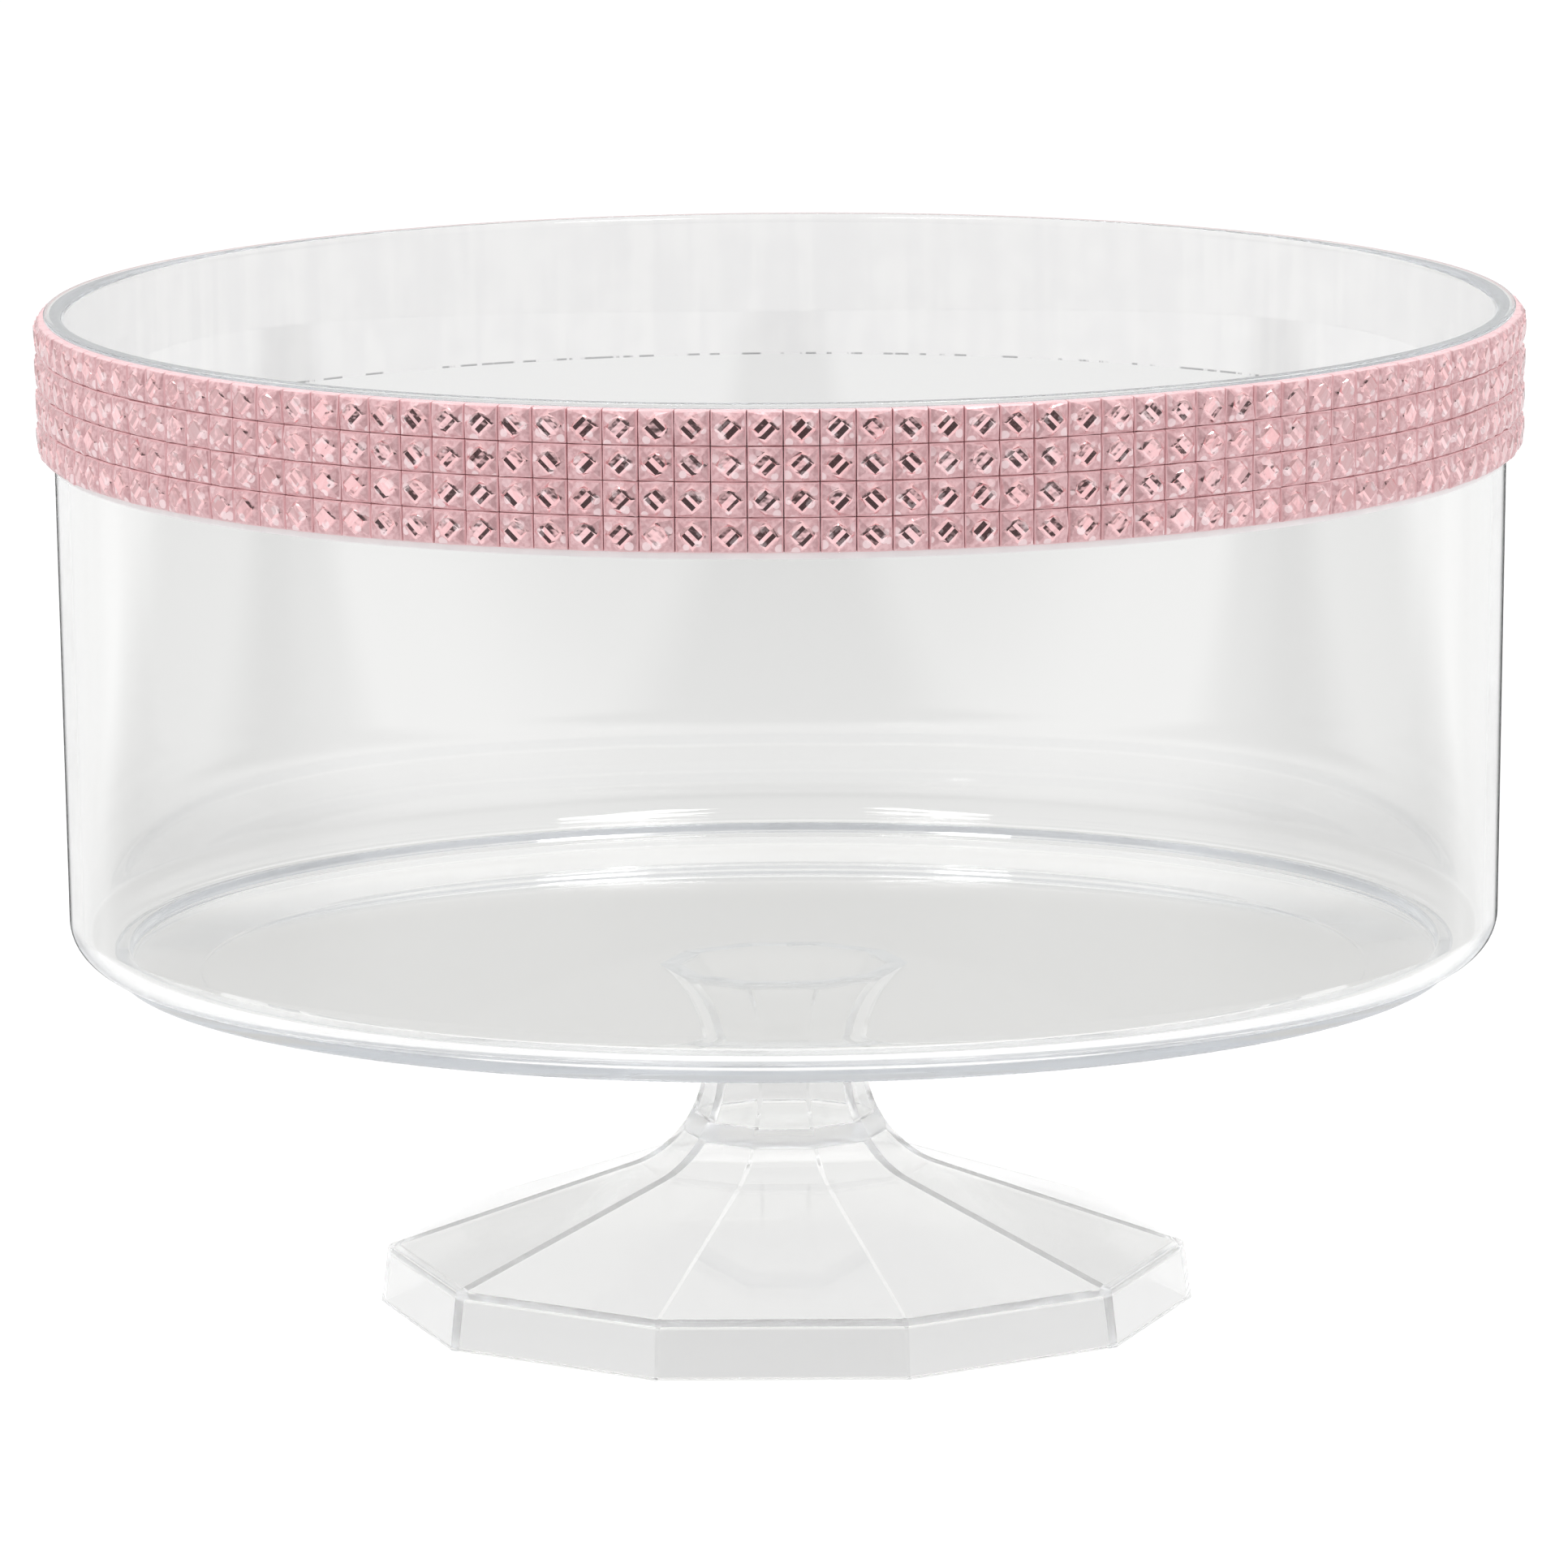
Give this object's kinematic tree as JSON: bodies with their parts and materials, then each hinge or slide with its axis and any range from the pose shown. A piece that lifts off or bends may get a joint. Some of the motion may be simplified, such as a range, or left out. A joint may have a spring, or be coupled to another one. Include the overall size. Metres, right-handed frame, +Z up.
{
  "type": "trifle bowl",
  "caption": "Clear straight-sided plastic serving bowl on a ten-sided hollow pedestal foot, with a band of square faceted pink stones below the rim.",
  "frame": {"origin": "middle of the pedestal's bottom, on the table", "axes": "+Z up through the bowl's axis; -Y faces the camera side, square to one flat of the ten-sided foot"},
  "size_m": [0.2162, 0.2162, 0.1474],
  "materials": {
    "bowl_clear": "clear polished styrene",
    "pedestal_clear": "clear polished styrene",
    "band_strip": "thin pale backing strip",
    "stones": "faceted pink acrylic stones with foiled backs"
  },
  "bodies": {
    "root": {"bowl": "bowl_clear", "pedestal": "pedestal_clear", "band_backing": "band_strip", "gem_row_1": "stones", "gem_row_2": "stones", "gem_row_3": "stones", "gem_row_4": "stones"}
  },
  "joints": []
}
